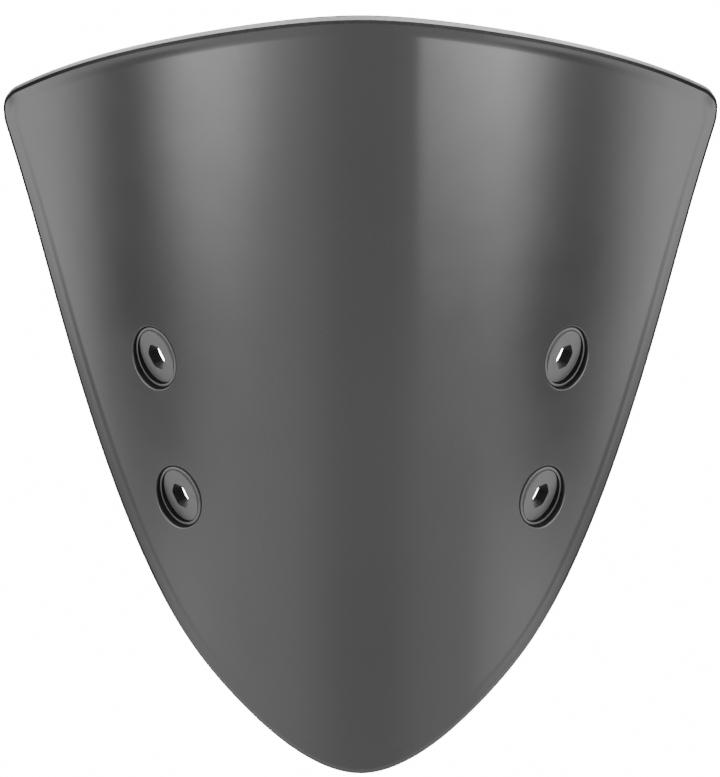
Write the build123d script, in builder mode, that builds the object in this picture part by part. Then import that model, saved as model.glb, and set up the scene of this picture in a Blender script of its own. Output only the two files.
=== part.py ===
import math
import os
from build123d import *

os.makedirs("parts", exist_ok=True)

# ---------------------------------------------------------------- driving dimensions, mm
# x lateral (rider's right is -x seen from the front), -y forward, +z up along the sheet.
# The origin is the centre of the four fixings, halfway through their depth.
BOW_SLOPE = 1.6        # slope the horizontal section tends to at the sides
BOW_SPAN = 108.0       # how quickly it gets there; nose radius is BOW_SPAN / BOW_SLOPE
NOSE_Y = -46.2         # foremost line of the outer surface
SHEET_T = 3.0          # sheet thickness
RIM_RISE = 0.08        # extra height of the border band on the outer side
RIM_BAND = 6.3         # width of the border band in the front view
CORNER_R = 17.5        # shoulder corner radius in the front view

# front-view outline, right half: top edge, then the side down to the tip
TOP_HALF = [(35.2, 182.0), (71.9, 169.8), (111.2, 150.5)]
TOP_MID_Z = 186.7
SHOULDER = (156.5, 118.6)
SIDE_HALF = [
    (142.45, 77.5),
    (128.1, 29.2),
    (112.2, -18.7),
    (92.0, -65.0),
    (73.1, -94.1),
    (47.7, -117.6),
    (20.8, -134.5),
]
TIP_Z = -139.6

# fixings: centre of the bush's face, and the way the fixing axis points (out of the front)
UPPER_FACE = (85.0, 2.8, 28.7)
LOWER_FACE = (75.6, -6.4, -29.8)
AXIS = (0.764, -0.620, -0.179)

POCKET_R = 13.35       # pocket in the sheet
POCKET_D = 3.7         # pocket floor below the bush's face
WEB_T = 2.0            # sheet left under the pocket
BOSS_R = 16.0          # thickening round the pocket on the back
HOLE_R = 10.15         # hole through the web

FLANGE_R = 11.4        # bush
FLANGE_T = 1.9
FACE_BREAK = 0.12      # broken edge of the flat face
HEX_AF = 10.0
HEX_CORNER_R = 5.4     # the hexagon's corners are cut to this radius
HEX_TURN = 1.2         # which way the hexagon's corners point, seen along the axis
HEX_BREAK = 0.1        # broken edge round the hexagon
HEX_D = 4.4
BARREL_R = 8.40
BARREL_END = 6.0
SOCKET_R = 7.0         # round socket behind the hexagon
THREAD_PITCH = 1.5
THREAD_DEPTH = 0.5

BEZEL_BORE_R = 8.7     # bezel: a cup washer that the bush's flange sits in
BEZEL_IN_R = 11.65
BEZEL_OUT_R = 12.95
BEZEL_FLOOR = 2.2
BEZEL_FLOOR_T = 0.6
BEZEL_TOP = 0.35       # its slanted edge above the bush's face, on the axis
BEZEL_SLANT = 0.13     # rise of that edge across the bezel

SEAL_IN_R = 8.7        # front seal
SEAL_OUT_R = 13.15
LIP_IN_R = 12.97
SEAL_TOP = 2.8
SEAL_T = 0.6
LIP_DROP = 0.55        # lip edge below the outer surface of the sheet

REAR_IN_R = 10.3       # rear seal
REAR_OUT_R = 12.9
REAR_T = 0.5

NUT_BORE_R = 8.45      # ring nut
NUT_HUB_R = 10.0
NUT_HUB_TOP = 3.9
NUT_FLANGE_R = 12.5
NUT_FLANGE_T = 1.3
NUT_CHAMFER = 1.1

BOW_DEPTH = BOW_SLOPE * BOW_SPAN


def bow_y(x):
    return NOSE_Y + BOW_DEPTH * (math.sqrt(1 + (x / BOW_SPAN) ** 2) - 1)


def bow_slope(x):
    return BOW_SLOPE * (x / BOW_SPAN) / math.sqrt(1 + (x / BOW_SPAN) ** 2)


def mirrored(points):
    return [(-x, z) for x, z in reversed(points)]


# ---------------------------------------------------------------- the sheet
with BuildSketch(Plane.XZ) as outline:
    with BuildLine():
        Spline(
            (-SHOULDER[0], SHOULDER[1]),
            *mirrored(TOP_HALF),
            (0, TOP_MID_Z),
            *TOP_HALF,
            SHOULDER,
        )
        Spline(
            SHOULDER,
            *SIDE_HALF,
            (0, TIP_Z),
            *mirrored(SIDE_HALF),
            (-SHOULDER[0], SHOULDER[1]),
        )
    make_face()
    fillet(outline.vertices().group_by(Axis.Z)[-1], CORNER_R)

with BuildSketch(Plane.XZ) as field:
    add(offset(outline.sketch, -RIM_BAND, mode=Mode.PRIVATE))

with BuildPart() as outline_prism:
    extrude(outline.sketch, amount=200, both=True)

with BuildPart() as field_prism:
    extrude(field.sketch, amount=200, both=True)

xs = [-176 + 11 * i for i in range(33)]
with BuildLine(Plane.XY.offset(-160)) as section:
    Spline(*[(x, bow_y(x)) for x in xs])
outer_surface = Face.extrude(section.edges()[0], Vector(0, 0, 370))

with BuildSketch(Plane.XY.offset(-160)) as behind:
    with BuildLine():
        Spline(*[(x, bow_y(x)) for x in xs])
        Polyline((xs[-1], bow_y(xs[-1])), (xs[-1], 250), (xs[0], 250), (xs[0], bow_y(xs[0])))
    make_face()
with BuildPart() as behind_surface:
    extrude(behind.sketch, amount=370)

outer_face = (outer_surface & outline_prism.part).faces()[0]
rim_face = (outer_face - field_prism.part).faces()[0]


def fixing_plane(face, side):
    return Plane(
        origin=(side * face[0], face[1], face[2]),
        x_dir=(AXIS[1], -side * AXIS[0], 0),
        z_dir=(side * AXIS[0], AXIS[1], AXIS[2]),
    )


FIXINGS = {
    "upper_left": fixing_plane(UPPER_FACE, -1),
    "upper_right": fixing_plane(UPPER_FACE, 1),
    "lower_left": fixing_plane(LOWER_FACE, -1),
    "lower_right": fixing_plane(LOWER_FACE, 1),
}

with BuildPart() as bosses:
    for where in FIXINGS.values():
        with Locations(where.offset(-POCKET_D - WEB_T)):
            Cylinder(BOSS_R, 20, align=(Align.CENTER, Align.CENTER, Align.MIN))
    add(behind_surface.part, mode=Mode.INTERSECT)

with BuildPart() as screen:
    thicken(outer_face, amount=SHEET_T if outer_face.normal_at().Y > 0 else -SHEET_T)
    thicken(rim_face, amount=-RIM_RISE if rim_face.normal_at().Y > 0 else RIM_RISE)
    add(bosses.part)
    for where in FIXINGS.values():
        with Locations(where.offset(-POCKET_D)):
            Cylinder(POCKET_R, 30, align=(Align.CENTER, Align.CENTER, Align.MIN), mode=Mode.SUBTRACT)
        with Locations(where.offset(-POCKET_D - 10)):
            Cylinder(HOLE_R, 20, align=(Align.CENTER, Align.CENTER, Align.MIN), mode=Mode.SUBTRACT)
screen.part.label = "screen"
export_step(screen.part, "parts/screen.step")


# ---------------------------------------------------------------- the four fixings
def meridian(where):
    """The plane through a fixing's axis: x runs out from the axis, y along it."""
    return Plane(origin=where.origin, x_dir=where.x_dir, z_dir=-where.y_dir)


def sheet_above(where):
    """Height of the sheet's outer surface above the bush's face, on the axis, and its normal there."""
    h = 0.0
    for _ in range(30):
        p = where.origin + where.z_dir * h
        h += (bow_y(p.X) - p.Y) / (where.z_dir.Y - bow_slope(p.X) * where.z_dir.X)
    p = where.origin + where.z_dir * h
    return p, Vector(bow_slope(p.X), -1, 0).normalized()


for name, where in FIXINGS.items():
    axis = Axis(where.origin, where.z_dir)
    turn = HEX_TURN if "left" in name else -HEX_TURN
    sheet_point, sheet_normal = sheet_above(where)
    lean = (sheet_normal - where.z_dir * sheet_normal.dot(where.z_dir)).normalized()
    bezel_normal = (where.z_dir + lean * BEZEL_SLANT).normalized()

    with BuildPart() as bush:
        with BuildSketch(meridian(where)) as profile:
            with BuildLine():
                Polyline(
                    (0, 0),
                    (FLANGE_R - FACE_BREAK, 0),
                    (FLANGE_R, -FACE_BREAK),
                    (FLANGE_R, -FLANGE_T + 0.15),
                    (FLANGE_R - 0.15, -FLANGE_T),
                    (BARREL_R - THREAD_DEPTH, -FLANGE_T),
                    (BARREL_R - THREAD_DEPTH, -BARREL_END + 2 * THREAD_PITCH + 0.1),
                    (BARREL_R, -BARREL_END + 1.7 * THREAD_PITCH),
                    (BARREL_R, -BARREL_END + 1.55 * THREAD_PITCH),
                    (BARREL_R - THREAD_DEPTH, -BARREL_END + 1.15 * THREAD_PITCH),
                    (BARREL_R, -BARREL_END + 0.75 * THREAD_PITCH),
                    (BARREL_R, -BARREL_END + 0.45 * THREAD_PITCH),
                    (BARREL_R - THREAD_DEPTH, -BARREL_END),
                    (0, -BARREL_END),
                    close=True,
                )
            make_face()
        revolve(axis=axis)
        with BuildSketch(where.offset(-HEX_D)):
            RegularPolygon(HEX_AF / 2, 6, major_radius=False, rotation=turn)
            Circle(HEX_CORNER_R, mode=Mode.INTERSECT)
        extrude(amount=HEX_D + 1, mode=Mode.SUBTRACT)
        mouth = bush.edges().filter_by(
            lambda e: all((v.center() - where.origin).length < 6 for v in e.vertices())
            and all(abs((v.center() - where.origin).dot(where.z_dir)) < 1e-6 for v in e.vertices())
        )
        chamfer(mouth, HEX_BREAK)
        with BuildSketch(where.offset(-BARREL_END - 1)):
            Circle(SOCKET_R)
        extrude(amount=BARREL_END + 1 - HEX_D, mode=Mode.SUBTRACT)
    bush.part.label = f"{name}_bush"
    export_step(bush.part, f"parts/{name}_bush.step")

    with BuildPart() as bezel:
        with BuildSketch(meridian(where)) as profile:
            with BuildLine():
                Polyline(
                    (BEZEL_BORE_R, -BEZEL_FLOOR - BEZEL_FLOOR_T),
                    (BEZEL_OUT_R, -BEZEL_FLOOR - BEZEL_FLOOR_T),
                    (BEZEL_OUT_R, 9),
                    (BEZEL_IN_R, 9),
                    (BEZEL_IN_R, -BEZEL_FLOOR),
                    (BEZEL_BORE_R, -BEZEL_FLOOR),
                    close=True,
                )
            make_face()
        revolve(axis=axis)
        split(bisect_by=Plane(origin=where.origin + where.z_dir * BEZEL_TOP, z_dir=bezel_normal), keep=Keep.BOTTOM)
    bezel.part.label = f"{name}_bezel"
    export_step(bezel.part, f"parts/{name}_bezel.step")

    with BuildPart() as front_seal:
        with BuildSketch(meridian(where)) as profile:
            with BuildLine():
                Polyline(
                    (SEAL_IN_R, -SEAL_TOP - SEAL_T),
                    (SEAL_OUT_R, -SEAL_TOP - SEAL_T),
                    (SEAL_OUT_R, 9),
                    (LIP_IN_R, 9),
                    (LIP_IN_R, -SEAL_TOP),
                    (SEAL_IN_R, -SEAL_TOP),
                    close=True,
                )
            make_face()
        revolve(axis=axis)
        split(bisect_by=Plane(origin=sheet_point - sheet_normal * LIP_DROP, z_dir=sheet_normal), keep=Keep.BOTTOM)
    front_seal.part.label = f"{name}_front_seal"
    export_step(front_seal.part, f"parts/{name}_front_seal.step")

    with BuildPart() as rear_seal:
        with BuildSketch(where.offset(-POCKET_D - WEB_T)):
            Circle(REAR_OUT_R)
            Circle(REAR_IN_R, mode=Mode.SUBTRACT)
        extrude(amount=-REAR_T)
    rear_seal.part.label = f"{name}_rear_seal"
    export_step(rear_seal.part, f"parts/{name}_rear_seal.step")

    back = -POCKET_D - WEB_T - REAR_T
    with BuildPart() as ring_nut:
        with BuildSketch(meridian(where)) as profile:
            with BuildLine():
                Polyline(
                    (NUT_BORE_R, -NUT_HUB_TOP),
                    (NUT_HUB_R - 0.3, -NUT_HUB_TOP),
                    (NUT_HUB_R, -NUT_HUB_TOP - 0.3),
                    (NUT_HUB_R, back),
                    (NUT_FLANGE_R - 0.2, back),
                    (NUT_FLANGE_R, back - 0.2),
                    (NUT_FLANGE_R, back - NUT_FLANGE_T + 0.3),
                    (NUT_FLANGE_R - 0.3, back - NUT_FLANGE_T),
                    (NUT_BORE_R + NUT_CHAMFER, back - NUT_FLANGE_T),
                    (NUT_BORE_R, back - NUT_FLANGE_T + NUT_CHAMFER),
                    close=True,
                )
            make_face()
        revolve(axis=axis)
        with BuildSketch(where.offset(back - NUT_FLANGE_T - 1)):
            with PolarLocations(NUT_FLANGE_R, 4, start_angle=45):
                Rectangle(2.6, 3.0)
        extrude(amount=NUT_FLANGE_T + 0.6, mode=Mode.SUBTRACT)
    ring_nut.part.label = f"{name}_ring_nut"
    export_step(ring_nut.part, f"parts/{name}_ring_nut.step")
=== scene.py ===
import math

import bpy
import numpy as np
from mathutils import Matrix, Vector
from mathutils.geometry import delaunay_2d_cdt


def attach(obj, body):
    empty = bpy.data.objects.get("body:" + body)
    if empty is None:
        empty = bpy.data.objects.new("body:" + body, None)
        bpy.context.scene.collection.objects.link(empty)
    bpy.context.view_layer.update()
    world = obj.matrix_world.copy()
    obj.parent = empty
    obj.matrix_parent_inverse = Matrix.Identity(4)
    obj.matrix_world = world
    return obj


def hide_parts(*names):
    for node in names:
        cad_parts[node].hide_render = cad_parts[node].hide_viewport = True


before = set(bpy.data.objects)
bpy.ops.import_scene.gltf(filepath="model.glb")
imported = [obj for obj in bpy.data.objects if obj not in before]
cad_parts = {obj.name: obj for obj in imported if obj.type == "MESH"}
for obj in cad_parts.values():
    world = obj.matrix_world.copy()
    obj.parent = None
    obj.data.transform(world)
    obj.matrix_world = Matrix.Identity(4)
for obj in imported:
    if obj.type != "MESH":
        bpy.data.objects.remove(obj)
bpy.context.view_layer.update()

MM = 0.001

# ------------------------------------------------------------------ the sheet's form, as in the CAD, mm
BOW_SLOPE, BOW_SPAN, NOSE_Y = 1.6, 108.0, -46.2
SHEET_T, RIM_RISE, RIM_BAND, CORNER_R = 3.0, 0.08, 6.3, 17.5
TOP_HALF = [(35.2, 182.0), (71.9, 169.8), (111.2, 150.5)]
TOP_MID_Z = 186.7
SHOULDER = (156.5, 118.6)
SIDE_HALF = [(142.45, 77.5), (128.1, 29.2), (112.2, -18.7), (92.0, -65.0),
             (73.1, -94.1), (47.7, -117.6), (20.8, -134.5)]
TIP_Z = -139.6
UPPER_FACE, LOWER_FACE = (85.0, 2.8, 28.7), (75.6, -6.4, -29.8)
AXIS = (0.764, -0.620, -0.179)
POCKET_R, POCKET_D, WEB_T, BOSS_R, HOLE_R = 13.35, 3.7, 2.0, 16.0, 10.15


def bow_y(x):
    return NOSE_Y + BOW_SLOPE * BOW_SPAN * (np.sqrt(1 + (x / BOW_SPAN) ** 2) - 1)


def bow_slope(x):
    return BOW_SLOPE * (x / BOW_SPAN) / np.sqrt(1 + (x / BOW_SPAN) ** 2)


def bow_curve(x):
    return BOW_SLOPE / BOW_SPAN / (1 + (x / BOW_SPAN) ** 2) ** 1.5


def surf(x, z, h=0.0):
    """Points h mm in front of the sheet's outer surface."""
    x, z = np.asarray(x, float), np.asarray(z, float)
    n = normal(x)
    p = np.stack([x, bow_y(x), np.broadcast_to(z, x.shape)], -1)
    return p + n * np.asarray(h, float)[..., None]


def normal(x):
    s = bow_slope(np.asarray(x, float))
    k = 1 / np.sqrt(1 + s * s)
    return np.stack([s * k, -k, np.zeros_like(s)], -1)


def across(p):
    """(u, height) of points: where on the section their foot is, and how far in front of the sheet they are."""
    u = p[..., 0].copy()
    for _ in range(25):
        s, c = bow_slope(u), bow_curve(u)
        g = (p[..., 0] - u) + (p[..., 1] - bow_y(u)) * s
        dg = -1 - s * s + (p[..., 1] - bow_y(u)) * c
        u = u - g / dg
    b = np.stack([u, bow_y(u), p[..., 2]], -1)
    return u, ((p - b) * normal(u)).sum(-1)


def spline(points, count):
    """A smooth curve through the points, by arc length, as CAD draws it."""
    p = np.asarray(points, float)
    t = np.concatenate([[0], np.cumsum(np.linalg.norm(np.diff(p, axis=0), axis=1))])
    n, h = len(p), np.diff(t)
    a, b = np.zeros((n, n)), np.zeros((n, 2))
    a[0, 0] = a[-1, -1] = 1
    a[0, 1] = a[-1, -2] = -1
    for i in range(1, n - 1):
        a[i, i - 1], a[i, i], a[i, i + 1] = h[i - 1], 2 * (h[i - 1] + h[i]), h[i]
        b[i] = 6 * ((p[i + 1] - p[i]) / h[i] - (p[i] - p[i - 1]) / h[i - 1])
    m = np.linalg.solve(a, b)
    q = np.linspace(t[0], t[-1], count)
    i = np.clip(np.searchsorted(t, q) - 1, 0, n - 2)
    w = (q - t[i])[:, None]
    hi = h[i][:, None]
    return (m[i] * (hi - w) ** 3 + m[i + 1] * w ** 3) / (6 * hi) + (
        p[i] / hi - m[i] * hi / 6) * (hi - w) + (p[i + 1] / hi - m[i + 1] * hi / 6) * w


def outline(count):
    """The front-view outline as a closed loop, clockwise from the top centre, evenly spaced."""
    mir = lambda pts: [(-x, z) for x, z in reversed(pts)]
    top = spline([(-SHOULDER[0], SHOULDER[1]), *mir(TOP_HALF), (0, TOP_MID_Z), *TOP_HALF, SHOULDER], 6001)[3000:]
    low = spline([SHOULDER, *SIDE_HALF, (0, TIP_Z), *mir(SIDE_HALF), (-SHOULDER[0], SHOULDER[1])], 12001)[:6001]

    def inset(c):
        t = np.gradient(c, axis=0)
        t /= np.linalg.norm(t, axis=1)[:, None]
        return c + CORNER_R * np.stack([t[:, 1], -t[:, 0]], -1)

    ti, li = inset(top), inset(low)
    a, b = ti[2000:], li[:2500]
    d = np.linalg.norm(a[:, None, :] - b[None, :, :], axis=2)
    i, j = np.unravel_index(d.argmin(), d.shape)
    centre = (a[i] + b[j]) / 2
    p0, p1 = top[2000 + i], low[j]
    g0, g1 = np.arctan2(*(p0 - centre)[::-1]), np.arctan2(*(p1 - centre)[::-1])
    g = np.linspace(g0, g1, 400)[1:-1]
    arc = centre + CORNER_R * np.stack([np.cos(g), np.sin(g)], -1)
    half = np.concatenate([top[: 2001 + i], arc, low[j:]])
    half[0, 0] = half[-1, 0] = 0
    s = np.concatenate([[0], np.cumsum(np.linalg.norm(np.diff(half, axis=0), axis=1))])
    q = np.linspace(0, s[-1], count // 2 + 1)
    h = np.stack([np.interp(q, s, half[:, k]) for k in (0, 1)], -1)
    return np.concatenate([h, h[1:-1][::-1] * [-1, 1]])


def ring_normals(rings):
    """Unit normals of a strip of closed rings, from the strip's own shape."""
    r = np.asarray(rings)
    along = np.roll(r, -1, axis=1) - np.roll(r, 1, axis=1)
    over = np.gradient(r, axis=0)
    n = np.cross(along, over)
    return n / np.maximum(np.linalg.norm(n, axis=-1), 1e-12)[..., None]


class Builder:
    def __init__(self):
        self.v, self.n, self.f = [], [], []
        self.count = 0

    def points(self, p, n):
        at = self.count
        self.v.append(np.asarray(p).reshape(-1, 3))
        self.n.append(np.asarray(n).reshape(-1, 3))
        self.count += self.v[-1].shape[0]
        return np.arange(at, self.count)

    def strip(self, ids, flip=False):
        for a, b in zip(ids[:-1], ids[1:]):
            k = len(a)
            for i in range(k):
                j = (i + 1) % k
                q = (a[i], a[j], b[j], b[i])
                self.f.append(q[::-1] if flip else q)

    def mesh(self, name):
        v, n = np.concatenate(self.v) * MM, np.concatenate(self.n)
        me = bpy.data.meshes.new(name)
        me.from_pydata(v.tolist(), [], [tuple(int(i) for i in f) for f in self.f])
        me.update()
        me.shade_smooth()
        me.normals_split_custom_set_from_vertices(n.tolist())
        me.validate()
        ob = bpy.data.objects.new(name, me)
        bpy.context.scene.collection.objects.link(ob)
        return ob


def inside(points, loop):
    x, y = points[:, 0], points[:, 1]
    hit = np.zeros(len(points), bool)
    x0, y0 = loop[:, 0], loop[:, 1]
    x1, y1 = np.roll(x0, -1), np.roll(y0, -1)
    for a, b, c, d in zip(x0, y0, x1, y1):
        if b == d:
            continue
        m = (b > y) != (d > y)
        hit ^= m & (x < (c - a) * (y - b) / (d - b) + a)
    return hit


def fill(build, outer, outer_ids, holes, hole_ids, place, step, face_front):
    """Fills the space between loops, given in (u, z), with small triangles lying on the sheet."""
    lo, hi = outer.min(0), outer.max(0)
    grid = []
    rows = int((hi[1] - lo[1]) / (step * 0.866)) + 1
    for r in range(rows):
        zz = lo[1] + r * step * 0.866
        xx = np.arange(-step * 80 - (step / 2 if r % 2 else 0), step * 80, step)
        grid.append(np.stack([xx, np.full(len(xx), zz)], -1))
    grid = np.concatenate(grid)
    keep = inside(grid, outer)
    for h in holes:
        keep &= ~inside(grid, h)
    grid = grid[keep]
    for loop in [outer, *holes]:
        near = np.full(len(grid), 1e9)
        for k in range(0, len(loop), 2):
            near = np.minimum(near, np.linalg.norm(grid - loop[k], axis=1))
        grid = grid[near > step * 0.62]
    p, n = place(grid[:, 0], grid[:, 1])
    grid_ids = build.points(p, n)
    pts = np.concatenate([outer, *holes, grid])
    ids = np.concatenate([outer_ids, *hole_ids, grid_ids])
    edges, at = [], 0
    for loop in [outer, *holes]:
        k = len(loop)
        edges += [(at + i, at + (i + 1) % k) for i in range(k)]
        at += k
    vs, _, faces, orig, _, _ = delaunay_2d_cdt([Vector(q) for q in pts.tolist()], edges, [], 0, 1e-6)
    back = [o[0] if o else -1 for o in orig]
    tri = np.array([[back[i] for i in f] for f in faces])
    tri = tri[(tri >= 0).all(1)]
    mid = pts[tri].mean(1)
    keep = inside(mid, outer)
    for h in holes:
        keep &= ~inside(mid, h)
    for t in tri[keep]:
        a, b, c = pts[t]
        if ((b - a)[0] * (c - a)[1] - (b - a)[1] * (c - a)[0] > 0) != face_front:
            t = t[::-1]
        build.f.append(tuple(ids[t]))


# ------------------------------------------------------------------ the screen
EDGE_FACES = []                     # faces of the screen that don't take the gloss: (index, material slot)
# how far round the front rounding (0 at the back, 1 in front) the edge's arris, the trimmed edge and the step reach;
# the arris and the step take the near-black painted shade line, the trimmed edge the pale painted light
BACK_TO, EDGE_TO, LINE_TO, SIDE_LINE_FROM = 0.12, 0.66, 1.0, 0.4


def make_screen():
    b = Builder()
    loop = outline(1000)
    tang = np.roll(loop, -1, axis=0) - np.roll(loop, 1, axis=0)
    tang /= np.linalg.norm(tang, axis=1)[:, None]
    out2 = np.stack([-tang[:, 1], tang[:, 0]], -1)          # clockwise loop: outward is to the left
    slope = bow_slope(loop[:, 0])
    t3 = np.stack([tang[:, 0], slope * tang[:, 0], tang[:, 1]], -1)
    t3 /= np.linalg.norm(t3, axis=1)[:, None]
    n3 = normal(loop[:, 0])
    e3 = np.cross(n3, t3)
    o3 = np.stack([out2[:, 0], slope * out2[:, 0], out2[:, 1]], -1)
    e3 *= np.sign((e3 * o3).sum(1))[:, None]
    g = (o3 * e3).sum(1)                                      # true inset per mm of front-view inset
    # how much the rim rolls forward: most along the top, little down the sides
    up = np.clip((out2[:, 1] + 0.05) / 0.55, 0, 1)
    roll = 0.18 + 0.92 * up * up * (3 - 2 * up)

    def curl(d):
        return roll * np.clip(1 - d / RIM_BAND, 0, 1) ** 2

    def ring(d, h):
        q = loop - out2 * np.asarray(d)[..., None]
        return surf(q[:, 0], q[:, 1], h)

    R1, R2 = 0.85 + 1.15 * up * up, 0.6
    wide = 1.1 + 1.8 * up * up                                # the front rounding reaches further in than back
    rings = []
    # back of the sheet, out to the edge
    for d in (8.2, 6.6, 5.0, 3.6, 2.4):
        rings.append(ring(np.full(len(loop), d), -SHEET_T + curl(d)))
    for t in np.linspace(0, 90, 6):
        a = (R2 * (1 - math.sin(math.radians(t)))) / g
        h = -SHEET_T + R2 * (1 - math.cos(math.radians(t)))
        rings.append(ring(a, h + curl(a)))
    for h in (-2.2, -2.0):
        rings.append(ring(np.zeros(len(loop)), h + curl(0)))
    for t in np.linspace(90, 0, 13):
        a = (wide * (1 - math.sin(math.radians(t)))) / g
        h = RIM_RISE - R1 * (1 - math.cos(math.radians(t)))
        rings.append(ring(a, h + curl(a)))
    rings.append(ring((wide + 0.05 + 1.1 * (1 - up)) / g, RIM_RISE + curl((wide + 0.05 + 1.1 * (1 - up)) / g)))
    for d in (3.4, 3.8, 4.2, 4.6):
        rings.append(ring(np.full(len(loop), d), RIM_RISE + curl(d)))
    for k in np.linspace(0, 1, 11):
        d = 5.0 + 2.6 * k
        rings.append(ring(np.full(len(loop), d), RIM_RISE * (1 - k * k * (3 - 2 * k)) + curl(d)))
    rings.append(ring(np.full(len(loop), 8.2), 0.0 * g))
    nn = ring_normals(rings)
    if (nn[-1][0] @ normal(loop[0, 0])) < 0:
        nn = -nn
        flip = True
    else:
        flip = False
    nn[-1] = normal(loop[:, 0] - out2[:, 0] * 8.2)
    nn[0] = -normal(loop[:, 0] - out2[:, 0] * 8.2)
    ids = [b.points(r, n) for r, n in zip(rings, nn)]
    b.strip(ids, flip=flip)
    # the trimmed edge faces between the back rounding and the front one, and the step in front of them: slot 1 paints
    # light on the top edge, slot 2 paints a near-black line of shade
    first = 5 + 6 - 1
    for a in range(first, first + 3 + 13):
        for i in range(len(loop)):
            turn = (a - first - 3) / 12.0
            line_from = EDGE_TO if up[i] > 0.30 else SIDE_LINE_FROM
            if line_from <= turn <= LINE_TO or (up[i] > 0.30 and turn < BACK_TO):
                EDGE_FACES.append((a * len(loop) + i, 2))
            elif up[i] > 0.30 and turn < EDGE_TO:
                EDGE_FACES.append((a * len(loop) + i, 1))
    inner = loop - out2 * 8.2

    front_holes, front_ids, back_holes, back_ids = [], [], [], []
    for side in (-1, 1):
        for face in (UPPER_FACE, LOWER_FACE):
            m = np.array([side * AXIS[0], AXIS[1], AXIS[2]])
            m /= np.linalg.norm(m)
            c = np.array([side * face[0], face[1], face[2]])
            x = np.array([AXIS[1], -side * AXIS[0], 0.0])
            x /= np.linalg.norm(x)
            y = np.cross(m, x)
            th = np.linspace(0, 2 * np.pi, 144, endpoint=False)
            rad = np.cos(th)[:, None] * x + np.sin(th)[:, None] * y

            def at(r, z):
                return c + rad * np.asarray(r)[..., None] + m * np.asarray(z)[..., None]

            def meet(r, level):
                """Height along the axis where radius r meets the surface `level` in front of the sheet."""
                z = np.zeros(len(th))
                for _ in range(40):
                    _, h = across(at(np.full(len(th), r), z))
                    z = z - (h - level) / 0.97
                return z

            rho = 0.5
            path = []
            for t in np.linspace(0, 90, 8):
                r = POCKET_R + rho * (1 - math.sin(math.radians(t)))
                path.append(at(np.full(len(th), r), meet(r, 0.0) - rho * (1 - math.cos(math.radians(t)))))
            top = meet(POCKET_R, 0.0) - rho
            for k in (0.4, 0.8):
                path.append(at(np.full(len(th), POCKET_R), top + (-POCKET_D + 0.35 - top) * k))
            one = np.ones(len(th))
            for r, z in ((POCKET_R, -POCKET_D + 0.3), (POCKET_R - 0.09, -POCKET_D + 0.09), (POCKET_R - 0.3, -POCKET_D),
                         (HOLE_R + 0.3, -POCKET_D), (HOLE_R + 0.15, -POCKET_D), (HOLE_R, -POCKET_D - 0.15),
                         (HOLE_R, -POCKET_D - 0.3), (HOLE_R, -POCKET_D - WEB_T + 0.3), (HOLE_R, -POCKET_D - WEB_T + 0.15),
                         (HOLE_R + 0.15, -POCKET_D - WEB_T), (HOLE_R + 0.3, -POCKET_D - WEB_T),
                         (BOSS_R - 0.6, -POCKET_D - WEB_T), (BOSS_R - 0.2, -POCKET_D - WEB_T + 0.08),
                         (BOSS_R, -POCKET_D - WEB_T + 0.35)):
                path.append(at(one * r, one * z))
            low = -POCKET_D - WEB_T + 0.35
            fil = 0.9
            high = meet(BOSS_R, -SHEET_T) - fil
            for k in (0.5,):
                path.append(at(one * BOSS_R, low + (high - low) * k))
            for t in np.linspace(90, 0, 7):
                r = BOSS_R + fil * (1 - math.sin(math.radians(t)))
                path.append(at(one * r, meet(r, -SHEET_T) - fil * (1 - math.cos(math.radians(t)))))
            nn = ring_normals(path)
            u, _ = across(path[0])
            if (nn[0] * normal(u)).sum() < 0:
                nn, fl = -nn, True
            else:
                fl = False
            nn[0] = normal(u)
            ub, _ = across(path[-1])
            nn[-1] = -normal(ub)
            ids = [b.points(p, q) for p, q in zip(path, nn)]
            b.strip(ids, flip=fl)
            front_holes.append(np.stack([u, path[0][:, 2]], -1))
            front_ids.append(ids[0])
            back_holes.append(np.stack([ub, path[-1][:, 2]], -1))
            back_ids.append(ids[-1])

    first, last = 0, len(rings) - 1
    edge_ids = np.arange(len(loop))
    fill(b, inner, edge_ids + last * len(loop), front_holes, front_ids,
         lambda u, z: (surf(u, z, np.zeros_like(u)), normal(u)), 3.0, True)
    fill(b, inner, edge_ids, back_holes, back_ids,
         lambda u, z: (surf(u, z, np.full_like(u, -SHEET_T)), -normal(u)), 3.2, False)
    return b.mesh("screen_sheet")


screen = make_screen()
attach(screen, "root")
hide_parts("screen")


# ------------------------------------------------------------------ the fittings
FLANGE_R, FLANGE_T, HEX_AF, HEX_CORNER_R, HEX_TURN, HEX_D = 11.4, 1.9, 10.0, 5.4, 1.2, 4.4
BARREL_R, BARREL_END, SOCKET_R, PITCH, THREAD_DEPTH = 8.40, 6.0, 7.0, 1.5, 0.5
BEZEL_BORE_R, BEZEL_IN_R, BEZEL_OUT_R, BEZEL_FLOOR, BEZEL_FLOOR_T = 8.7, 11.65, 12.95, 2.2, 0.6
BEZEL_TOP, BEZEL_SLANT = 0.35, 0.13
SEAL_IN_R, SEAL_OUT_R, LIP_IN_R, SEAL_TOP, SEAL_T, LIP_DROP = 8.7, 13.15, 12.97, 2.8, 0.6, 0.55
REAR_IN_R, REAR_OUT_R, REAR_T = 10.3, 12.9, 0.5
NUT_BORE_R, NUT_HUB_R, NUT_HUB_TOP, NUT_FLANGE_R, NUT_FLANGE_T, NUT_CHAMFER = 8.45, 10.0, 3.9, 12.5, 1.3, 1.1


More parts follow.
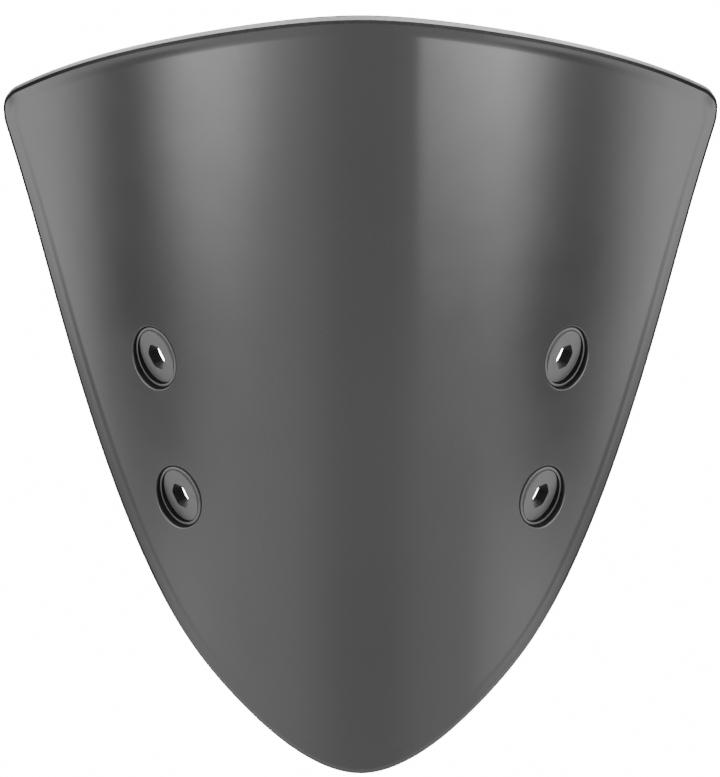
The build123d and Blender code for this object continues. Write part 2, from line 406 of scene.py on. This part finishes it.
def rounded(path, radii, steps=4):
    """A closed path of (r, z) corners, each an array over the turn, with its corners rounded."""
    n, out = len(path), []
    for i in range(n):
        p, a, b = path[i], path[i - 1], path[(i + 1) % n]
        u, v = a - p, b - p
        lu, lv = np.linalg.norm(u, axis=1), np.linalg.norm(v, axis=1)
        u, v = u / lu[:, None], v / lv[:, None]
        half = np.arccos(np.clip((u * v).sum(1), -1, 1)) / 2
        t = np.minimum(radii[i] / np.tan(half), 0.45 * np.minimum(lu, lv))
        keep = np.minimum(t + 0.04, 0.49 * np.minimum(lu, lv))
        out.append(p + u * keep[:, None])
        for k in range(steps + 1):
            w = k / steps
            out.append(p + u * (t * (1 - w) ** 2)[:, None] + v * (t * w ** 2)[:, None])
        out.append(p + v * keep[:, None])
    return out


def place(face, side):
    m = np.array([side * AXIS[0], AXIS[1], AXIS[2]])
    m /= np.linalg.norm(m)
    c = np.array([side * face[0], face[1], face[2]])
    x = np.array([AXIS[1], -side * AXIS[0], 0.0])
    x /= np.linalg.norm(x)
    return c, x, np.cross(m, x), m


def turned(name, where, th, path, radii, steps=4):
    """A mesh swept round the axis through a closed path of (r, z) corners, arrays over the angles th."""
    c, x, y, m = where
    rad = np.cos(th)[:, None] * x + np.sin(th)[:, None] * y
    one = np.ones(len(th))
    corners = [np.stack([one * r, one * z], -1) for r, z in path]
    pts = rounded(corners, radii, steps)
    rings = np.array([c + rad * p[:, :1] + m * p[:, 1:] for p in pts])
    k, n = rings.shape[:2]
    along = np.roll(rings, -1, axis=1) - np.roll(rings, 1, axis=1)
    over = np.roll(rings, -1, axis=0) - np.roll(rings, 1, axis=0)
    nn = np.cross(along, over)
    nn /= np.maximum(np.linalg.norm(nn, axis=-1), 1e-12)[..., None]
    ids = np.arange(k * n).reshape(k, n)
    a, b = ids, np.roll(ids, -1, axis=1)
    d, e = np.roll(ids, -1, axis=0), np.roll(np.roll(ids, -1, axis=0), -1, axis=1)
    quads = np.stack([a, b, e, d], -1).reshape(-1, 4)
    v = rings.reshape(-1, 3)
    q = v[quads] - v.mean(0)
    vol = (np.cross(q[:, 0], q[:, 1]) * q[:, 2]).sum() + (np.cross(q[:, 0], q[:, 2]) * q[:, 3]).sum()
    if vol < 0:
        quads = quads[:, ::-1]
    fn = np.cross(v[quads[:, 2]] - v[quads[:, 0]], v[quads[:, 3]] - v[quads[:, 1]])
    if (fn * nn.reshape(-1, 3)[quads[:, 0]]).sum() < 0:
        nn = -nn
    build = Builder()
    build.points(v, nn)
    build.f = [tuple(f) for f in quads.tolist()]
    return build.mesh(name)


def finer(th, marks, gap):
    """The angles th with more of them close to each mark, and none twice."""
    more = [th] + [(m + g) % (2 * np.pi) for m in marks for g in gap]
    t = np.sort(np.concatenate([np.atleast_1d(q) for q in more]) % (2 * np.pi))
    keep = np.concatenate([[True], np.diff(t) > np.radians(0.12)])
    return t[keep]


def make_fitting(name, face, side):
    where = place(face, side)
    c, x, y, m = where
    base = np.linspace(0, 2 * np.pi, 180, endpoint=False)

    # bush: flat satin face, hexagon right through it, threaded barrel, round socket behind
    turn = math.radians(HEX_TURN if side < 0 else -HEX_TURN)
    corners = [turn + math.radians(60 * k) for k in range(6)]
    th = finer(base, corners, np.radians([-1.0, -0.45, -0.15, 0.0, 0.15, 0.45, 1.0]))
    cell = np.mod(th - turn, math.radians(60)) - math.radians(30)
    hexa = (HEX_AF / 2) / np.cos(cell)
    hexa = np.minimum(hexa, HEX_CORNER_R)
    root = BARREL_R - THREAD_DEPTH
    path = [
        (hexa, 0.0), (FLANGE_R, 0.0), (FLANGE_R, -FLANGE_T), (root, -FLANGE_T),
        (root, -BARREL_END + 1.9 * PITCH),
        (BARREL_R, -BARREL_END + 1.7 * PITCH), (BARREL_R, -BARREL_END + 1.55 * PITCH),
        (root, -BARREL_END + 1.15 * PITCH),
        (BARREL_R, -BARREL_END + 0.75 * PITCH), (BARREL_R, -BARREL_END + 0.45 * PITCH),
        (root, -BARREL_END), (SOCKET_R, -BARREL_END), (SOCKET_R, -HEX_D), (hexa, -HEX_D),
    ]
    radii = [0.30, 0.14, 0.12, 0.25, 0.1, 0.05, 0.05, 0.08, 0.05, 0.05, 0.05, 0.25, 0.15, 0.1]
    bush = turned(name + "_bush_turned", where, th, path, radii)
    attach(bush, name + "_turner")
    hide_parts(name + "_bush")

    # the slanted planes that cut the bezel's edge and the seal's lip
    h = 0.0
    for _ in range(40):
        p = c + m * h
        h += (bow_y(p[0]) - p[1]) / (m[1] - bow_slope(p[0]) * m[0])
    p = c + m * h
    n = normal(p[0])
    lean = n - m * (n @ m)
    lean /= np.linalg.norm(lean)
    bn = m + lean * BEZEL_SLANT
    rad = np.cos(base)[:, None] * x + np.sin(base)[:, None] * y

    def cut(r, point, nrm):
        """Height along the axis of a plane at radius r."""
        return ((point - c) @ nrm - r * (rad @ nrm)) / (m @ nrm)

    top = lambda r: cut(r, c + m * BEZEL_TOP, bn)
    path = [
        (BEZEL_IN_R, top(BEZEL_IN_R)), (BEZEL_OUT_R, top(BEZEL_OUT_R)), (BEZEL_OUT_R, -BEZEL_FLOOR - BEZEL_FLOOR_T),
        (BEZEL_BORE_R, -BEZEL_FLOOR - BEZEL_FLOOR_T), (BEZEL_BORE_R, -BEZEL_FLOOR), (BEZEL_IN_R, -BEZEL_FLOOR),
    ]
    bezel = turned(name + "_bezel_turned", where, base, path, [0.18, 0.5, 0.15, 0.08, 0.08, 0.2])
    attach(bezel, name + "_carrier")
    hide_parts(name + "_bezel")

    lip = lambda r: cut(r, p - n * LIP_DROP, n)
    path = [
        (LIP_IN_R, lip(LIP_IN_R)), (SEAL_OUT_R, lip(SEAL_OUT_R)), (SEAL_OUT_R, -SEAL_TOP - SEAL_T),
        (SEAL_IN_R, -SEAL_TOP - SEAL_T), (SEAL_IN_R, -SEAL_TOP), (LIP_IN_R, -SEAL_TOP),
    ]
    seal = turned(name + "_front_seal_moulded", where, base, path, [0.08, 0.12, 0.2, 0.15, 0.15, 0.05])
    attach(seal, name + "_carrier")
    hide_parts(name + "_front_seal")

    back = -POCKET_D - WEB_T
    path = [(REAR_IN_R, back), (REAR_OUT_R, back), (REAR_OUT_R, back - REAR_T), (REAR_IN_R, back - REAR_T)]
    rear = turned(name + "_rear_seal_moulded", where, base, path, [0.12, 0.2, 0.2, 0.12])
    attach(rear, "root")
    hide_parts(name + "_rear_seal")

    back -= REAR_T
    slots = [math.radians(45 + 90 * k) for k in range(4)]
    wide = math.asin(1.5 / 11.9)
    marks = [q + d for q in slots for d in (-wide, wide)]
    th = finer(base, marks, np.radians([-0.8, -0.3, 0.0, 0.3, 0.8]))
    off = np.abs(np.mod(th[:, None] - np.array(slots)[None, :] + np.pi, 2 * np.pi) - np.pi).min(1)
    edge = np.clip((off - wide) / math.radians(0.5) + 0.5, 0, 1)
    out = 11.2 + (NUT_FLANGE_R - 11.2) * edge
    path = [
        (NUT_BORE_R, -NUT_HUB_TOP), (NUT_HUB_R, -NUT_HUB_TOP), (NUT_HUB_R, back), (out, back),
        (out, back - NUT_FLANGE_T), (NUT_BORE_R + NUT_CHAMFER, back - NUT_FLANGE_T),
        (NUT_BORE_R, back - NUT_FLANGE_T + NUT_CHAMFER),
    ]
    nut = turned(name + "_ring_nut_turned", where, th, path, [0.15, 0.3, 0.1, 0.2, 0.3, 0.15, 0.1])
    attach(nut, "root")
    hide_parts(name + "_ring_nut")
    return bush, bezel, seal, rear, nut


FITTINGS = []
for row, face in (("upper", UPPER_FACE), ("lower", LOWER_FACE)):
    for word, side in (("left", -1), ("right", 1)):
        FITTINGS.append(make_fitting(f"{row}_{word}", face, side) + (place(face, side),))


# ------------------------------------------------------------------ materials
def principled(name, color, rough, metallic=0.0, **more):
    m = bpy.data.materials.new(name)
    m.use_nodes = True
    nt = m.node_tree
    p = nt.nodes["Principled BSDF"]
    p.inputs["Base Color"].default_value = (*color, 1)
    p.inputs["Roughness"].default_value = rough
    p.inputs["Metallic"].default_value = metallic
    for k, v in more.items():
        p.inputs[k.replace("_", " ")].default_value = v
    return m, nt, p


def node(nt, kind, ins=(), **props):
    n = nt.nodes.new(kind)
    for k, v in props.items():
        setattr(n, k, v)
    for k, v in dict(ins).items():
        if isinstance(v, bpy.types.NodeSocket):
            nt.links.new(v, n.inputs[k])
        else:
            n.inputs[k].default_value = v
    return n


def place_of(nt):
    return node(nt, "ShaderNodeTexCoord").outputs["Object"]


def noise(nt, scale, detail=3.0, rough=0.5, vec=None, dist=0.0):
    n = node(nt, "ShaderNodeTexNoise", {"Scale": scale, "Detail": detail, "Roughness": rough, "Distortion": dist})
    nt.links.new(vec or place_of(nt), n.inputs["Vector"])
    return n.outputs["Fac"]


def ramp(nt, src, lo, hi, a, b):
    return node(nt, "ShaderNodeMapRange",
                {"Value": src, "From Min": lo, "From Max": hi, "To Min": a, "To Max": b}).outputs["Result"]


def mixed(nt, fac, a, b):
    x = nt.nodes.new("ShaderNodeMix")
    x.data_type = "RGBA"
    nt.links.new(fac, x.inputs["Factor"])
    for k, v in (("A", a), ("B", b)):
        if isinstance(v, bpy.types.NodeSocket):
            nt.links.new(v, x.inputs[k])
        else:
            x.inputs[k].default_value = (*v, 1)
    return x.outputs["Result"]


def maths(nt, op, a, b=None):
    n = nt.nodes.new("ShaderNodeMath")
    n.operation = op
    for k, v in ((0, a), (1, b)):
        if v is None:
            continue
        if isinstance(v, bpy.types.NodeSocket):
            nt.links.new(v, n.inputs[k])
        else:
            n.inputs[k].default_value = v
    return n.outputs[0]


def bump(nt, height, strength, distance, p):
    b = node(nt, "ShaderNodeBump", {"Height": height, "Strength": strength, "Distance": distance})
    nt.links.new(b.outputs["Normal"], p.inputs["Normal"])
    return b


def screen_material():
    """Moulded smoke-tinted plastic: gloss with a very faint flow pattern, dust and handling haze."""
    m, nt, p = principled("smoke_tint", (0.013, 0.013, 0.0135), 0.2, IOR=1.5)
    big = noise(nt, 11.0, 2.0)
    tone = mixed(nt, ramp(nt, big, 0.3, 0.7, 0, 1), (0.0135, 0.0135, 0.0138), (0.0160, 0.0160, 0.0163))
    speck = node(nt, "ShaderNodeTexVoronoi", {"Scale": 260.0, "Randomness": 1.0})
    nt.links.new(place_of(nt), speck.inputs["Vector"])
    dust = ramp(nt, speck.outputs["Distance"], 0.035, 0.06, 0.22, 0.0)
    nt.links.new(mixed(nt, dust, tone, (0.05, 0.05, 0.05)), p.inputs["Base Color"])
    haze = noise(nt, 34.0, 4.0, 0.55, dist=0.4)
    nt.links.new(ramp(nt, haze, 0.3, 0.7, 0.105, 0.135), p.inputs["Roughness"])
    wave = noise(nt, 16.0, 2.0)
    bump(nt, wave, 0.25, 0.0006, p)
    return m


def painted_light_edge_material():
    """The trimmed edge of the sheet along the top, with fine cutter marks: its pale colour is painted light from
    above, and it turns to darker painted shade towards the shoulders.
    """
    m, nt, p = principled("trimmed_edge_painted_light", (0.3, 0.3, 0.3), 0.5, IOR=1.5)
    marks = noise(nt, 900.0, 4.0, 0.6)
    cloud = noise(nt, 45.0, 3.0, 0.5)
    fac = ramp(nt, maths(nt, "ADD", maths(nt, "MULTIPLY", cloud, 0.55), maths(nt, "MULTIPLY", marks, 0.45)), 0.3, 0.7, 0, 1)
    x = maths(nt, "ABSOLUTE", node(nt, "ShaderNodeSeparateXYZ", {0: place_of(nt)}).outputs["X"])
    # painted light: the pale tone stands in for the top light on the edge; the x ramp below paints it darker, as
    # shade, towards the shoulders
    painted_light_tone = mixed(nt, fac, (0.18, 0.18, 0.18), (0.33, 0.33, 0.33))
    nt.links.new(mixed(nt, ramp(nt, x, 0.102, 0.136, 0, 1), painted_light_tone, (0.05, 0.05, 0.05)), p.inputs["Base Color"])
    nt.links.new(ramp(nt, marks, 0.3, 0.7, 0.42, 0.6), p.inputs["Roughness"])
    bump(nt, marks, 0.3, 0.00004, p)
    return m


def painted_shade_line_material():
    """Painted shade: a near-black matt line with cutter marks on the edge's rounding, where the step and the back
    arris fall in shade; darkest towards the shoulders, glossier towards the bottom.
    """
    m, nt, p = principled("edge_step_painted_shade", (0.006, 0.006, 0.006), 0.5, IOR=1.5, Specular_IOR_Level=0.2)
    marks = noise(nt, 900.0, 3.0, 0.6)
    parts = node(nt, "ShaderNodeSeparateXYZ", {0: place_of(nt)})
    x, z = maths(nt, "ABSOLUTE", parts.outputs["X"]), parts.outputs["Z"]
    # painted shade: these near-black tones stand in for the shade on the step, darkest towards the shoulders
    dark = mixed(nt, ramp(nt, marks, 0.3, 0.7, 0, 1), (0.022, 0.022, 0.022), (0.036, 0.036, 0.036))
    dark = mixed(nt, ramp(nt, x, 0.09, 0.135, 0, 1), dark, (0.011, 0.011, 0.011))
    nt.links.new(mixed(nt, ramp(nt, z, 0.02, 0.11, 0, 1), (0.025, 0.025, 0.025), dark), p.inputs["Base Color"])
    nt.links.new(maths(nt, "MULTIPLY", ramp(nt, z, -0.115, -0.07, 0.28, 1.0), ramp(nt, marks, 0.3, 0.7, 0.4, 0.6)),
                 p.inputs["Roughness"])
    nt.links.new(ramp(nt, z, -0.115, -0.07, 0.5, 0.0), p.inputs["Specular IOR Level"])
    return m


def alloy_material(name, where, tone, rough, lines, metal=1.0):
    """Turned alloy, bare or coated: fine rings round the part's own axis over a grainy satin surface."""
    c, x, y, mm = where
    m, nt, p = principled(name, tone, rough, metal)
    pos = place_of(nt)
    rel = node(nt, "ShaderNodeVectorMath", {0: pos, 1: tuple(c * MM)}, operation="SUBTRACT").outputs[0]
    u = node(nt, "ShaderNodeVectorMath", {0: rel, 1: tuple(x)}, operation="DOT_PRODUCT").outputs["Value"]
    v = node(nt, "ShaderNodeVectorMath", {0: rel, 1: tuple(y)}, operation="DOT_PRODUCT").outputs["Value"]
    w = node(nt, "ShaderNodeVectorMath", {0: rel, 1: tuple(mm)}, operation="DOT_PRODUCT").outputs["Value"]
    r = maths(nt, "SQRT", maths(nt, "ADD", maths(nt, "MULTIPLY", u, u), maths(nt, "MULTIPLY", v, v)))
    rings = node(nt, "ShaderNodeCombineXYZ", {"X": r, "Y": maths(nt, "MULTIPLY", w, 1.0), "Z": 0.0}).outputs[0]
    cut = noise(nt, 5200.0, 2.0, 0.6, vec=rings)
    grain = noise(nt, 2600.0, 3.0, 0.6)
    cloud = noise(nt, 120.0, 3.0, 0.5)
    light = tuple(min(1.0, q * 1.10) for q in tone)
    dark = tuple(q * 0.90 for q in tone)
    fac = ramp(nt, maths(nt, "ADD", maths(nt, "MULTIPLY", cloud, 0.6), maths(nt, "MULTIPLY", cut, 0.4)), 0.35, 0.65, 0, 1)
    nt.links.new(mixed(nt, fac, dark, light), p.inputs["Base Color"])
    nt.links.new(ramp(nt, maths(nt, "ADD", maths(nt, "MULTIPLY", grain, 0.7), maths(nt, "MULTIPLY", cut, 0.3)),
                      0.3, 0.7, rough - 0.05, rough + 0.06), p.inputs["Roughness"])
    height = maths(nt, "ADD", maths(nt, "MULTIPLY", cut, lines), maths(nt, "MULTIPLY", grain, 1 - lines))
    bump(nt, height, 0.35, 0.00003, p)
    return m


def hex_socket_painted_shade_material(where):
    """The hexagon's walls, with fine axial broach marks: near black as painted shade inside the socket."""
    m, nt, p = principled("broached_painted_shade", (0.06, 0.06, 0.06), 0.5, 0.0, Specular_IOR_Level=0.15)
    streak = noise(nt, 1400.0, 3.0, 0.6)
    # painted shade: near-black tones stand in for the shade inside the hexagon socket
    nt.links.new(mixed(nt, ramp(nt, streak, 0.3, 0.7, 0, 1), (0.005, 0.005, 0.005), (0.014, 0.014, 0.014)),
                 p.inputs["Base Color"])
    nt.links.new(ramp(nt, streak, 0.3, 0.7, 0.45, 0.62), p.inputs["Roughness"])
    return m


def rubber_material():
    m, nt, p = principled("seal_black", (0.006, 0.006, 0.006), 0.7, 0.0, Specular_IOR_Level=0.12)
    grain = noise(nt, 1800.0, 4.0, 0.65)
    cloud = noise(nt, 160.0, 2.0)
    nt.links.new(mixed(nt, ramp(nt, cloud, 0.3, 0.7, 0, 1), (0.004, 0.004, 0.004), (0.009, 0.009, 0.009)),
                 p.inputs["Base Color"])
    nt.links.new(ramp(nt, grain, 0.3, 0.7, 0.62, 0.85), p.inputs["Roughness"])
    bump(nt, grain, 0.4, 0.00004, p)
    return m


screen.data.materials.append(screen_material())
screen.data.materials.append(painted_light_edge_material())
screen.data.materials.append(painted_shade_line_material())
# slot 1 is the trimmed edge's painted light, slot 2 the painted shade line
for k, kind in EDGE_FACES:
    screen.data.polygons[k].material_index = kind
# the seals' black rubber, also used as painted shade on the bezels' inner walls
RUBBER_AND_PAINTED_SHADE = rubber_material()
for i, (bush, bezel, seal, rear, nut, where) in enumerate(FITTINGS):
    bush.data.materials.append(alloy_material(f"satin_face_{i}", where, (0.042, 0.042, 0.043), 0.45, 0.55, 0.2))
    bush.data.materials.append(hex_socket_painted_shade_material(where))
    # painted light: a lighter, non-metal copy of the face's alloy on the flange's side wall, lifting the shade in the
    # gap round the flange
    bush.data.materials.append(alloy_material(f"flange_side_painted_light_{i}", where, (0.10, 0.10, 0.10), 0.55, 0.7, 0.0))
    c, x, y, mm = where
    for f in bush.data.polygons:
        q = np.array(f.center) / MM - c
        r = math.hypot(q @ x, q @ y)
        n = np.array(f.normal)
        # the socket walls take the painted shade material; the flange's side wall takes the lighter painted-light copy
        if r < SOCKET_R + 0.05 and abs(n @ mm) < 0.88:
            f.material_index = 1
        elif r > FLANGE_R - 0.12 and abs(n @ mm) < 0.7:
            f.material_index = 2
    bezel.data.materials.append(alloy_material(f"satin_bezel_{i}", where, (0.040, 0.040, 0.041), 0.45, 0.7, 0.2))
    # painted shade: the black seal material on the bezel's inner wall stands in for the shade in the gap round the
    # face
    bezel.data.materials.append(RUBBER_AND_PAINTED_SHADE)
    for f in bezel.data.polygons:
        q = np.array(f.center) / MM - c
        out = q - mm * (q @ mm)
        if np.linalg.norm(out) < BEZEL_IN_R + 0.06 and np.array(f.normal) @ out < -0.6 * np.linalg.norm(out):
            f.material_index = 1
    seal.data.materials.append(RUBBER_AND_PAINTED_SHADE)
    rear.data.materials.append(RUBBER_AND_PAINTED_SHADE)
    nut.data.materials.append(alloy_material(f"nut_{i}", where, (0.13, 0.13, 0.132), 0.34, 0.75))


# ------------------------------------------------------------------ stage, lights, camera
TARGET = Vector((-0.0002, -0.0012, 0.0162))
ELEV = math.radians(20.0)
AWAY = Vector((0, -math.cos(ELEV), math.sin(ELEV)))
cam = bpy.data.cameras.new("camera")
cam.lens = 36.0 * 1.5 / (0.777 / 2.4)
cam.sensor_width = 36.0
co = bpy.data.objects.new("camera", cam)
bpy.context.scene.collection.objects.link(co)
co.location = TARGET + AWAY * 1.5
co.rotation_mode = "QUATERNION"
co.rotation_quaternion = (-AWAY).to_track_quat("-Z", "Y")
bpy.context.scene.camera = co

# a pale round floor well below the part
FLOOR_Z, FLOOR_R = -0.62, 0.95
bm_v = [(0, 0, FLOOR_Z)] + [(FLOOR_R * math.cos(math.radians(5 * k)), FLOOR_R * math.sin(math.radians(5 * k)), FLOOR_Z)
                            for k in range(72)]
fm = bpy.data.meshes.new("floor")
fm.from_pydata(bm_v, [], [(0, 1 + k, 1 + (k + 1) % 72) for k in range(72)])
floor = bpy.data.objects.new("floor", fm)
bpy.context.scene.collection.objects.link(floor)
m = bpy.data.materials.new("floor")
m.use_nodes = True
nt = m.node_tree
nt.nodes.clear()
lp = node(nt, "ShaderNodeLightPath")
dim = node(nt, "ShaderNodeBsdfDiffuse", {"Color": (0.5, 0.5, 0.5, 1)})
lit = node(nt, "ShaderNodeEmission", {"Color": (1, 1, 1, 1), "Strength": 16.0})
mx = node(nt, "ShaderNodeMixShader", {0: lp.outputs["Is Camera Ray"], 1: dim.outputs[0], 2: lit.outputs[0]})
ou = node(nt, "ShaderNodeOutputMaterial", {0: mx.outputs[0]})
fm.materials.append(m)

# the studio: a white tent with a soft panel each side, by azimuth (0 in front, + to the right) and elevation
GLOW = [(-180, 0.6), (-150, 0.5), (-120, 0.6), (-114, 2.0), (-108, 3.0), (-105, 2.3), (-102.5, 1.3),
        (-100, 0.6), (-96, 0.35), (-90, 0.6), (-85, 1.2), (-79, 1.7), (-72, 2.0), (-55, 2.0), (-45, 2.0), (-33, 1.8),
        (-20, 1.5), (-8, 1.35), (8, 1.3), (22, 1.3), (33, 1.5), (46, 1.6), (72, 1.55), (80, 1.1), (86, 0.5), (92, 0.2),
        (99, 0.4), (105, 2.4), (108, 3.1), (114, 2.0), (120, 0.6)]
PANELS = [(-180, 0), (-99, 0), (-95, 0.4), (-91, 2.6), (-87, 4.9), (-82, 5.9), (-73, 5.6), (-66, 4.3), (-57, 2.0),
          (-46, 0.8), (-33, 0.3), (-15, 0), (34, 0), (36.5, 0.6), (39, 3.0), (43, 3.7), (54, 5.1), (64, 6.2), (74, 7.4), (79, 7.1),
          (85, 4.5), (90, 1.9), (95, 0.6), (100, 0), (180, 0)]
LOW = [(-180, 0), (-100, 0.0), (-95, 0.7), (-91, 1.4), (-86, 1.1), (-79, 0.3), (-70, 0), (63, 0), (72, 0.6), (80, 1.3),
       (86, 2.0), (91, 1.6), (96, 0.8), (102, 0), (180, 0)]
SIDES = [(-180, 0), (-107, 0), (-103, 0.5), (-98, 0.75), (-94, 0.35), (-88, 0), (88, 0), (94, 0.35), (98, 0.65), (102, 0.5),
         (107, 0), (180, 0)]
REAR = [(-180, 7.5), (-140, 7.5), (-115, 0), (115, 0), (140, 7.5), (180, 7.5)]

w = bpy.data.worlds.new("world")
bpy.context.scene.world = w
w.use_nodes = True
nt = w.node_tree
nt.nodes.clear()
sep = node(nt, "ShaderNodeSeparateXYZ", {0: node(nt, "ShaderNodeTexCoord").outputs["Generated"]})
front = maths(nt, "MULTIPLY", sep.outputs["Y"], -1.0)
turn = maths(nt, "ARCTAN2", sep.outputs["X"], front)
spin = node(nt, "ShaderNodeMapRange", {"Value": turn, "From Min": -math.pi, "From Max": math.pi}).outputs["Result"]
lift = maths(nt, "MULTIPLY", maths(nt, "ARCSINE", sep.outputs["Z"]), 180 / math.pi)


def by_azimuth(stops):
    r = nt.nodes.new("ShaderNodeValToRGB")
    r.color_ramp.interpolation = "B_SPLINE"
    el = r.color_ramp.elements
    while len(el) < len(stops):
        el.new(0.5)
    for e, (deg, value) in zip(el, stops):
        e.position = (deg + 180) / 360
    for e, (deg, value) in zip(el, stops):
        e.color = (value / 10, value / 10, value / 10, 1)
    nt.links.new(spin, r.inputs[0])
    return maths(nt, "MULTIPLY", r.outputs[0], 10.0)


def by_lift(a, b, x, y):
    return node(nt, "ShaderNodeMapRange",
                {"Value": lift, "From Min": a, "From Max": b, "To Min": x, "To Max": y}).outputs["Result"]


fade = maths(nt, "MULTIPLY", maths(nt, "POWER", by_lift(-19.4, -12.5, 0, 1), 1.4), 1.35)
panel = maths(nt, "MULTIPLY", by_azimuth(PANELS), maths(nt, "MULTIPLY", fade, by_lift(10, 32, 1, 0)))
low = maths(nt, "ADD", maths(nt, "MULTIPLY", by_azimuth(LOW), by_lift(-22.6, -20.6, 1, 0)),
            maths(nt, "MULTIPLY", by_azimuth(SIDES), by_lift(-20.8, -18.6, 1, 0)))
rear = maths(nt, "MULTIPLY", by_azimuth(REAR), maths(nt, "MULTIPLY", by_lift(-8, 2, 0, 1), by_lift(40, 55, 1, 0)))
level = maths(nt, "MULTIPLY", by_azimuth(GLOW), by_lift(-4, 20, 1, 0.25))
level = maths(nt, "ADD", level, by_lift(45, 70, 0, 3.5))
level = maths(nt, "ADD", maths(nt, "ADD", level, rear), maths(nt, "ADD", panel, low))
a = node(nt, "ShaderNodeBackground", {"Color": (1, 1, 1, 1), "Strength": level})
b = node(nt, "ShaderNodeBackground", {"Color": (1, 1, 1, 1), "Strength": 16.0})
lp = node(nt, "ShaderNodeLightPath")
mx = node(nt, "ShaderNodeMixShader", {0: lp.outputs["Is Camera Ray"], 1: a.outputs[0], 2: b.outputs[0]})
ou = node(nt, "ShaderNodeOutputWorld", {0: mx.outputs[0]})
